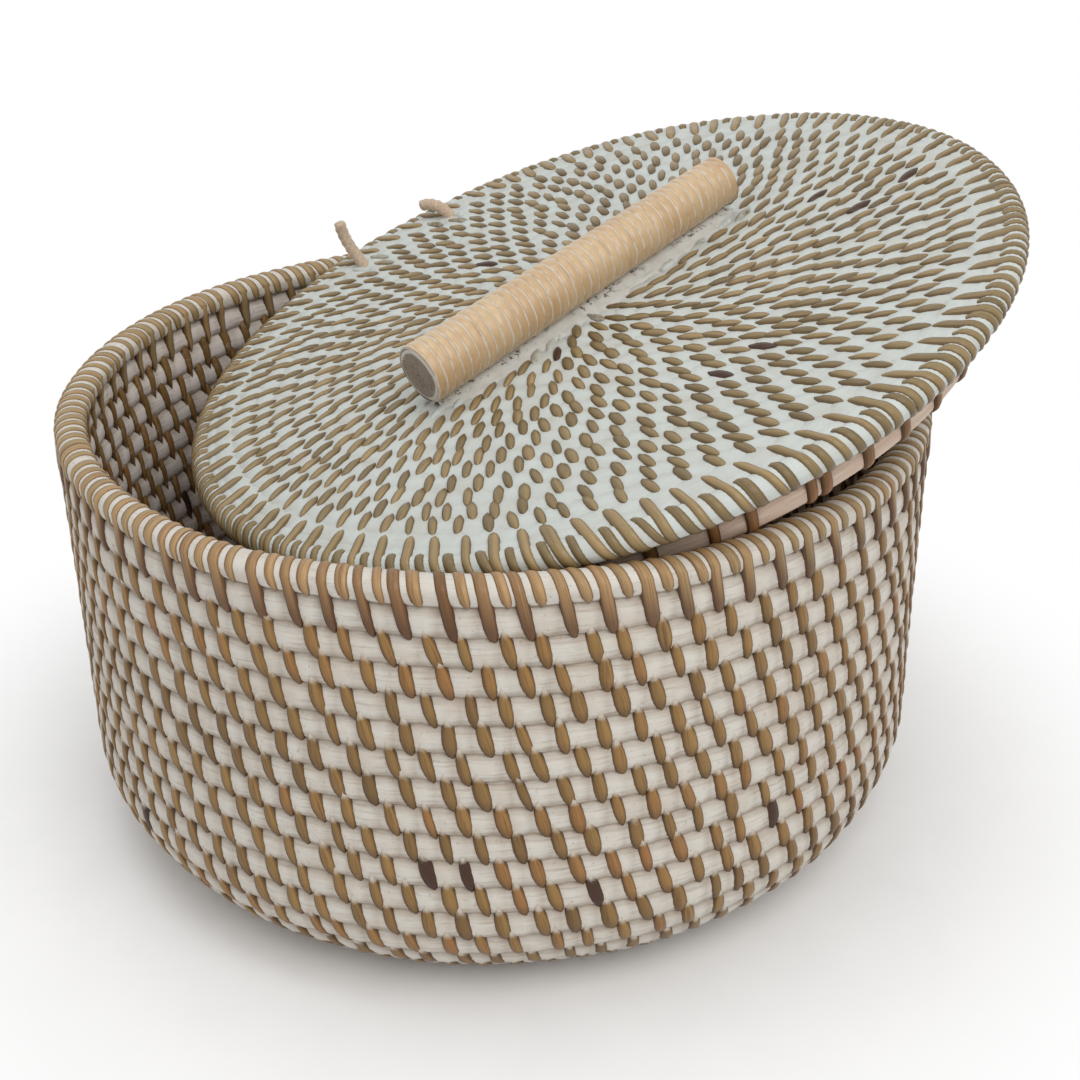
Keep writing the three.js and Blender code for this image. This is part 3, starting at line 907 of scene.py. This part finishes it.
def make_lid_edge(long_places):
    """The lid's edge coil and its strips, long and short by turns."""
    core = Builder()
    add_coil_core(core, place_on_lid, edge_outline(around(EDGE_FACETS), 0))
    core.piece("lid_edge_core", "lid", "whitewashed_rod", LID_WHITE, ["lid_edge_coil"])
    wraps = Builder()
    short_places = (long_places + math.pi / len(long_places)) % TURN
    for places, long in ((long_places, True), (short_places, False)):
        radius, height, taper = edge_profile(long)
        tones = cane_tones(places, EDGE_TONE_SPREAD)
        lean = slanted(radius, height, EDGE_LEAN, edge_centre)
        deep = np.clip(-height / EDGE_SHADE_DEPTH, 0, 1)
        washes = lid_wash(edge_centre[0], places)
        add_bands(wraps, place_on_lid, (radius, height), outwards(radius, height), EDGE_WRAP_WIDTH * taper,
                  places, lean, tones, washes, np.zeros(len(radius)), deep)
    wraps.piece("lid_edge_wraps", "lid", "wound_rim", LID_STRIP)


# Radius, height and half depth of the bare rods
STOP_RODS = {"stop_ring": (106.6, -12.7, 3.2), "stop_ring_upper": (107.5, -6.1, 2.6)}
STOP_POWER = 2.3
STOP_FACETS = 16
STOP_STEPS = 180
TIE_WIDTH = 3.4
TIE_PROUD = 0.4              # above and below the rods
TIE_BESIDE = 0.9             # and on both sides of them
TIE_POWER = 2.6
TIE_ANGLES = np.radians(np.linspace(-240, 60, 22))
TIE_LEAN = 2.0
TIE_TONES = (0.6, 1.0)
TIE_SHADE = 0.5

# Ties on the side that the photograph shows, in degrees, and the rest of the round at a like distance
TIES_IN_VIEW = (-80, -75, -66.6, -64.4, -57.6, -50.9)
TIES_OUT_OF_VIEW = np.linspace(-44, 272, 45)


def make_stop_rods():
    """Two bare rods under the lid, tied to it by strips."""
    for node, (radius, height, half_depth) in STOP_RODS.items():
        rod = Builder()
        coil = coil_outline((radius, height), STOP_HALF_WIDTH, half_depth, around(STOP_FACETS), STOP_POWER)
        add_coil_core(rod, place_on_lid, coil, STOP_STEPS)
        rod.piece(node.replace("ring", "rod"), "lid", "bare_rod", BARE_ROD, [node])
    ties = Builder()
    places = np.radians(np.concatenate((TIES_IN_VIEW, TIES_OUT_OF_VIEW)))
    low, high = STOP_RODS.values()
    bottom, top = low[1] - low[2] - TIE_PROUD, high[1] + high[2] + TIE_PROUD
    middle = ((low[0] + high[0]) / 2, (bottom + top) / 2)
    half_width, half_depth = STOP_HALF_WIDTH + TIE_BESIDE, (top - bottom) / 2
    profile = coil_outline(middle, half_width, half_depth, TIE_ANGLES, TIE_POWER)
    tones = random.uniform(*TIE_TONES, len(places))
    level = np.zeros(len(TIE_ANGLES))
    lean = TIE_LEAN * np.linspace(-0.5, 0.5, len(level))
    add_bands(ties, place_on_lid, profile, outwards(*profile), level + TIE_WIDTH, places, lean, tones,
              np.zeros(len(places)), level, level + TIE_SHADE)
    ties.piece("stop_ties", "lid", "wound_rim", WALL_STRIP)


# Handle

BAR_FACETS = 40
BAR_END = ((0.02, 0), (0.5, 0), (0.85, 0), (0.98, 0.1), (1.05, 0.4))  # share of the radius, distance in
RAGGED = 0.2                 # unevenness of the sawn ends
RAGGED_FROM = 0.9            # share of the radius
RAGS = 5                     # round an end
PEEL_ACROSS = np.array([-1, -0.82, -0.5, 0, 0.5, 0.82, 1.0])      # over the strip's width
PEEL_CROWN = np.array([0.45, 0.88, 1.05, 1.1, 1.05, 0.88, 0.45])  # and its height on the bar there
PEEL_STEPS = 30              # in a turn
PEEL_MARGIN = 0.2            # at both ends of the bar
PEEL_LOOSE = 0.08
PEEL_WAVES = 2.3             # radians for each turn
PEEL_GIRTH = 8.0             # along the strip for each radian


def bar_radius(y):
    middle = (HANDLE_THICK_END + HANDLE_THIN_END) / 4
    return middle - (HANDLE_THICK_END - HANDLE_THIN_END) / 2 * y / HANDLE_LENGTH


def place_on_bar(radius, y, angle):
    local = np.stack((radius * np.cos(angle), y, radius * np.sin(angle)), -1)
    return local @ bar_axes + bar_centre


def make_bar():
    """The bar itself, of which only the sawn ends show."""
    bar = Builder()
    half = HANDLE_LENGTH / 2
    angle = around(BAR_FACETS)
    near_end = [(share, inset - half) for share, inset in BAR_END]
    far_end = [(share, -y) for share, y in reversed(near_end)]
    rings = np.array(near_end + far_end)
    share, y = rings[:, :1], rings[:, 1:]
    ragged = RAGGED * np.sin(RAGS * angle + 1) * (share > RAGGED_FROM)
    points = place_on_bar(share * bar_radius(y) + ragged, y + 0 * angle, angle + 0 * y)
    bar.add(points, False, True, flip=True, share=share)
    bar.piece("handle_core", "lid", "cane_bar", CANE_END, ["handle_bar"])


def make_peel():
    """The strip wound round the bar, turn beside turn, cut level at both ends."""
    strip = Builder()
    end = HANDLE_LENGTH / 2 - PEEL_MARGIN
    pitch = 2 * end / (HANDLE_TURNS + 1)
    turns = np.arange(1 - PEEL_STEPS, (HANDLE_TURNS + 1) * PEEL_STEPS) / PEEL_STEPS
    middle = -end + pitch / 2 + turns * pitch
    low = np.maximum(middle - pitch / 2, -end)
    high = np.minimum(middle + pitch / 2, end)
    y = (high + low)[:, None] / 2 + PEEL_ACROSS * (high - low)[:, None] / 2
    loose = PEEL_LOOSE * np.sin(turns * PEEL_WAVES)[:, None]
    angle = (turns * TURN)[:, None]
    points = place_on_bar(bar_radius(y) + PEEL_CROWN + loose, y, np.broadcast_to(angle, y.shape))
    strip.add(points, across=PEEL_ACROSS, run=angle * PEEL_GIRTH)
    strip.piece("handle_strip", "lid", "cane_peel", HANDLE_PEEL, ["handle_wrap"])


# Filler: points over half its width as a share, and their height over the lid's rods
FILLER_ACROSS = np.array([-1, -0.86, -0.74, -0.58, -0.4, -0.2, 0, 0.2, 0.4, 0.58, 0.74, 0.86, 1.0])
FILLER_RISE = np.array([-0.5, 0.1, 0.32, 0.8, 1.7, 2.4, 2.6, 2.4, 1.7, 0.8, 0.32, 0.1, -0.5])
FILLER_STEPS = 170
FILLER_SHORTER = 2.0         # than the bar, at both ends
FILLER_HALF_WIDTH = 7.4
FILLER_END_WIDTH = 0.5
FILLER_END_RISE = 0.4        # as a share
FILLER_END_POWER = 8         # how suddenly it ends
FILLER_CLOSES = 0.5          # beyond its last points
FILLER_EDGE = ((0.5, 0.13, 1), (0.4, 0.37, 0), (0.3, 0.9, 2))  # waves: size, rate and phase
FILLER_LUMPS = 0.10


def make_filler():
    """Filler pressed into the corner between bar and lid, its edge uneven."""
    bed = Builder()
    half = HANDLE_LENGTH / 2 - FILLER_SHORTER
    y = np.linspace(-half, half, FILLER_STEPS)
    end = np.sqrt(1 - (np.abs(y) / (half + FILLER_CLOSES)) ** FILLER_END_POWER)
    wavy = sum(size * np.sin(y * rate + phase) for size, rate, phase in FILLER_EDGE)
    edge = (FILLER_HALF_WIDTH + wavy) * end + FILLER_END_WIDTH
    lumps = random.normal(0, FILLER_LUMPS, (FILLER_STEPS, len(FILLER_ACROSS)))
    x = FILLER_ACROSS * edge[:, None]
    fullness = FILLER_END_RISE + (1 - FILLER_END_RISE) * end[:, None]
    z = LID_ROD_THICKNESS / 2 + (FILLER_RISE + lumps) * fullness
    axis = bar_axes[1] - (bar_axes[1] @ lid_axes[2]) * lid_axes[2]
    axis /= np.linalg.norm(axis)
    side = np.cross(axis, lid_axes[2])
    points = lid_centre + x[..., None] * side + y[:, None, None] * axis + z[..., None] * lid_axes[2]
    bed.add(points, inner=1 - np.abs(FILLER_ACROSS))
    bed.piece("handle_filler", "lid", "filler", FILLER, ["handle_bed"])


# Hinge cords: each route goes outwards, anticlockwise and up from its hole, in the lid's frame
CORD_ROUTES = (
    ((21.2, 0, -20.6), (17, 0, -20.9), (13, 0, -21), (9, 0, -20.8), (6.7, 0, -20.5), (4.5, 0, -19.6),
     (2.6, 0, -18.2), (1.2, 0, -16.3), (0.3, 0, -14.1), (0, 0, -11.8), (0, 0, -8.2), (0, 0, -4.8),
     (0.3, 0, -1.6), (1.2, 0, 1.8), (2.8, 0, 5), (4.5, 0.1, 8.2), (5.6, 0.2, 11.6), (5.9, 0.2, 15),
     (5.6, 0.1, 18)),
    ((8.8, 6.8, -24.3), (7.3, 5.6, -22.9), (5.1, 4, -21), (3, 2.3, -19.2), (2.1, 1.6, -18.2),
     (0.9, 0.7, -16.3), (0.2, 0.2, -14.1), (0, 0, -11.8), (0, 0, -8.2), (0, 0, -4.8), (0, 0, -1.2),
     (0.4, 0.3, 1.7), (1.7, 1, 4.2), (3.6, 2.2, 6.1), (5.9, 3.7, 7.1), (8.4, 5.2, 7.1), (9.8, 6.1, 6.6)),
)
CORD_FACETS = 24
CORD_STRANDS = 3
CORD_LAY = 7.0               # one turn of the strands
CORD_FULL = 0.95             # the strands' middle radius and how far they stand out, as shares
CORD_RELIEF = 0.07
CORD_YARNS = 5               # turns of the yarns in one turn of the strands
CORD_ROUNDING = 0.9          # of its cut ends
CORD_TIP = 0.001             # keeps a cut end from closing to a point


def smooth_line(points, per_span=6):
    """A smooth curve through the points."""
    padded = np.concatenate(([2 * points[0] - points[1]], points, [2 * points[-1] - points[-2]]))
    t = np.arange(per_span)[:, None] / per_span
    line = []
    for i in range(len(points) - 1):
        p0, p1, p2, p3 = padded[i:i + 4]
        line.append(0.5 * (2 * p1 + (p2 - p0) * t + (2 * p0 - 5 * p1 + 4 * p2 - p3) * t ** 2
                           + (3 * p1 - p0 - 3 * p2 + p3) * t ** 3))
    line.append(points[-1:])
    return np.concatenate(line)


def carried_frames(line):
    """Two directions across the line at each point, carried along it without twist."""
    tangent = np.gradient(line, axis=0)
    tangent /= np.linalg.norm(tangent, axis=1, keepdims=True)
    first = np.cross(tangent[0], lid_axes[0])
    firsts = []
    for direction in tangent:
        first = first - (first @ direction) * direction
        first = first / np.linalg.norm(first)
        firsts.append(first)
    firsts = np.array(firsts)
    return firsts, np.cross(tangent, firsts)


def cord_line(azimuth, route):
    at = math.radians(azimuth)
    out = np.array((math.cos(at), math.sin(at), 0))
    anticlockwise = np.array((-math.sin(at), math.cos(at), 0))
    local = np.array([(CORD_HOLE_RADIUS + away) * out + aside * anticlockwise + (0, 0, up)
                      for away, aside, up in route])
    return smooth_line(local @ lid_axes + lid_centre)


def make_cord(number, azimuth, route):
    """A twisted cord that follows the lid at its hole and the box at the wall."""
    line = cord_line(azimuth, route)
    first, second = carried_frames(line)
    lengths = np.concatenate(([0], np.linalg.norm(np.diff(line, axis=0), axis=1).cumsum()))
    angle = around(CORD_FACETS)
    lay = lengths[:, None] / CORD_LAY * TURN
    to_end = np.minimum(lengths, lengths[-1] - lengths)[:, None]
    closing = np.sqrt(1 - (1 - np.clip(to_end / CORD_ROUNDING, CORD_TIP, 1)) ** 2)
    strands = CORD_FULL + CORD_RELIEF * np.cos(CORD_STRANDS * (angle - lay))
    radius = CORD_DIAMETER / 2 * strands * closing
    points = (line[:, None, :] + (radius * np.cos(angle))[..., None] * first[:, None, :]
              + (radius * np.sin(angle))[..., None] * second[:, None, :])
    cord = Builder()
    cord.add(points, False, True, twist=CORD_STRANDS * angle - CORD_YARNS * lay)
    piece = cord.piece(f"cord_{number}", None, "cotton_cord", COTTON, [f"hinge_cord_{number}"])
    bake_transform(piece)


# Stage

CAMERA_PLACE = (10.5, -465.6, 320.8)
CAMERA_DOWN = 0.4884         # radians below the horizon
CAMERA_ROLL = -0.0134
CAMERA_LENS = 60.0
CAMERA_SENSOR = 36.0
PHOTO_SIDE = 1080
VIEW_CENTRE_RIGHT = 6.3      # pixels of the photograph from the view's axis to its middle
VIEW_CENTRE_UP = 1.2


def make_camera():
    forward = Vector((0, math.cos(CAMERA_DOWN), -math.sin(CAMERA_DOWN)))
    level = Vector((1, 0, 0))
    upright = level.cross(forward)
    right = math.cos(CAMERA_ROLL) * level + math.sin(CAMERA_ROLL) * upright
    up = math.cos(CAMERA_ROLL) * upright - math.sin(CAMERA_ROLL) * level
    camera = bpy.data.objects.new("camera", bpy.data.cameras.new("camera"))
    bpy.context.scene.collection.objects.link(camera)
    turn = Matrix((right, up, -forward)).transposed().to_4x4()
    camera.matrix_world = Matrix.Translation(Vector(CAMERA_PLACE) * MM) @ turn
    camera.data.lens = CAMERA_LENS
    camera.data.sensor_width = CAMERA_SENSOR
    camera.data.shift_x = VIEW_CENTRE_RIGHT / PHOTO_SIDE
    camera.data.shift_y = VIEW_CENTRE_UP / PHOTO_SIDE
    bpy.context.scene.camera = camera


# Lamps: name, place and size in metres, power in watts, colour
LAMPS = (("key", (0.4, -0.8, 1.1), 1.1, 8.0, (1.0, 0.985, 0.96)),
         ("top", (-0.25, 0.1, 1.4), 0.8, 3.2, (0.96, 0.99, 1.0)),
         ("left", (-1.1, -0.7, 0.7), 1.0, 0.3, (1.0, 0.99, 0.97)))
LAMPS_AIM = Vector((0, 0, 0.08))
AMBIENT = 0.53               # the world's light


def add_light(name, place, size, power, colour):
    lamp = bpy.data.lights.new(name, "AREA")
    lamp.shape = "DISK"
    lamp.size = size
    lamp.energy = power
    lamp.color = colour
    light = bpy.data.objects.new(name, lamp)
    light.location = place
    light.rotation_euler = (LAMPS_AIM - Vector(place)).to_track_quat("-Z", "Y").to_euler()
    bpy.context.scene.collection.objects.link(light)


def white_to_the_eye(nodes):
    """1 for rays that show the background itself, 0 for rays that carry its light."""
    path = nodes.add("ShaderNodeLightPath", {}).outputs
    seen = nodes.math("MAXIMUM", path["Is Camera Ray"], path["Is Glossy Ray"])
    return nodes.math("MAXIMUM", seen, path["Is Transmission Ray"])


def make_lights():
    """The lamps, and a world that is white to look at and lights the box less than that."""
    for lamp in LAMPS:
        add_light(*lamp)
    world = bpy.data.worlds.new("studio")
    bpy.context.scene.world = world
    world.use_nodes = True
    nodes = Nodes(world.node_tree)
    inputs = {"Value": white_to_the_eye(nodes), "To Min": AMBIENT, "To Max": 1.0}
    background = nodes.tree.nodes["Background"].inputs
    nodes.set(background["Color"], (1, 1, 1, 1))
    nodes.set(background["Strength"], nodes.add("ShaderNodeMapRange", inputs).outputs["Result"])


FLOOR_HALF = 6.0
FLOOR_HEIGHT = -0.0005
SHADOW_NEAR = 0.09           # the floor shows its shadow up to here
SHADOW_FAR = 0.22            # and is plain white from here


def make_floor():
    """A pale floor that keeps the shadow near the box and turns into the white backdrop further out."""
    mesh = bpy.data.meshes.new("floor")
    square = ((-1, -1), (1, -1), (1, 1), (-1, 1))
    corners = [(x * FLOOR_HALF, y * FLOOR_HALF, FLOOR_HEIGHT) for x, y in square]
    mesh.from_pydata(corners, [], [(0, 1, 2, 3)])
    shader = Shader("floor")
    grain = shader.noise(shader.place(), 40.0)
    colour = shader.ramp(grain, (0.3, (0.90, 0.90, 0.90, 1)), (0.7, (0.94, 0.94, 0.94, 1)))
    material = shader.finish(Base_Color=colour, Roughness=0.9)
    white = shader.add("ShaderNodeEmission", {"Color": (1, 1, 1, 1), "Strength": 1.0})
    length = shader.add("ShaderNodeVectorMath", {"Vector": shader.place()}, operation="LENGTH")
    inputs = {"Value": length.outputs["Value"], "From Min": SHADOW_NEAR, "From Max": SHADOW_FAR}
    far = shader.add("ShaderNodeMapRange", inputs, interpolation_type="SMOOTHSTEP").outputs["Result"]
    factor = shader.times(far, white_to_the_eye(shader))
    both = shader.add("ShaderNodeMixShader", {"Fac": factor})
    shader.set(both.inputs[1], shader.surface.outputs[0])
    shader.set(both.inputs[2], white.outputs[0])
    shader.set(shader.tree.nodes["Material Output"].inputs["Surface"], both.outputs[0])
    mesh.materials.append(material)
    floor = bpy.data.objects.new("floor", mesh)
    bpy.context.scene.collection.objects.link(floor)


make_camera()
for cord_number, (hole_azimuth, cord_route) in enumerate(zip(HOLES, CORD_ROUTES), 1):
    make_cord(cord_number, hole_azimuth, cord_route)
rim_places = make_box_rows()
make_base()
make_rim(rim_places)
edge_places = make_lid()
make_lid_edge(edge_places)
make_stop_rods()
make_bar()
make_peel()
make_filler()
make_lights()
make_floor()
bpy.context.scene.view_settings.view_transform = "Standard"
